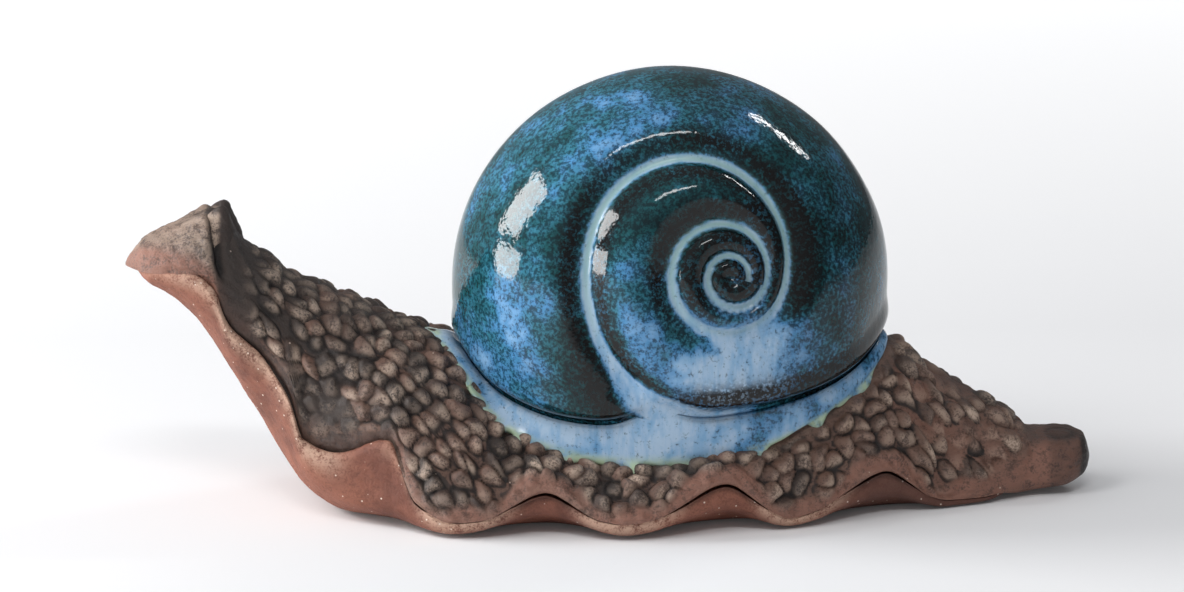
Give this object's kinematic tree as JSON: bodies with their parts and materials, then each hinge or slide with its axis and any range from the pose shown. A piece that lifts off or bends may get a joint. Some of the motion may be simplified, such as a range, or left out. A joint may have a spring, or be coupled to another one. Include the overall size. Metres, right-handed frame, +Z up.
{
  "type": "snail figurine",
  "caption": "Hand-built stoneware snail ornament with a smooth frilled foot, pebble-stamped body and a hollow glazed shell carved with a spiral; stands on a shelf as decoration.",
  "frame": {"origin": "on the table under the middle of the bounding box", "axes": "+X from the head towards the tail, +Y to the snail's right, +Z up"},
  "size_m": [0.2, 0.07, 0.0902],
  "materials": {
    "smooth_clay": "smooth unglazed red stoneware",
    "washed_clay": "smooth stoneware with a thin oxide wash",
    "pebbled_clay": "pebble-stamped stoneware with a dark oxide wash",
    "shell_clay": "bare fired stoneware under the glaze",
    "shell_glaze": "glossy mottled teal and blue glaze",
    "fringe_glaze": "glossy pale blue pooled glaze"
  },
  "bodies": {
    "root": {"foot_slab": "smooth_clay", "throat_slab": "smooth_clay", "head": "washed_clay", "left_horn": "washed_clay", "right_horn": "washed_clay", "neck": "pebbled_clay", "cradle": "pebbled_clay", "tail": "pebbled_clay", "tail_tip": "washed_clay", "shell_left_half": "shell_clay", "shell_right_half": "shell_clay", "shell_glaze": "shell_glaze", "glaze_fringe": "fringe_glaze"}
  },
  "joints": []
}
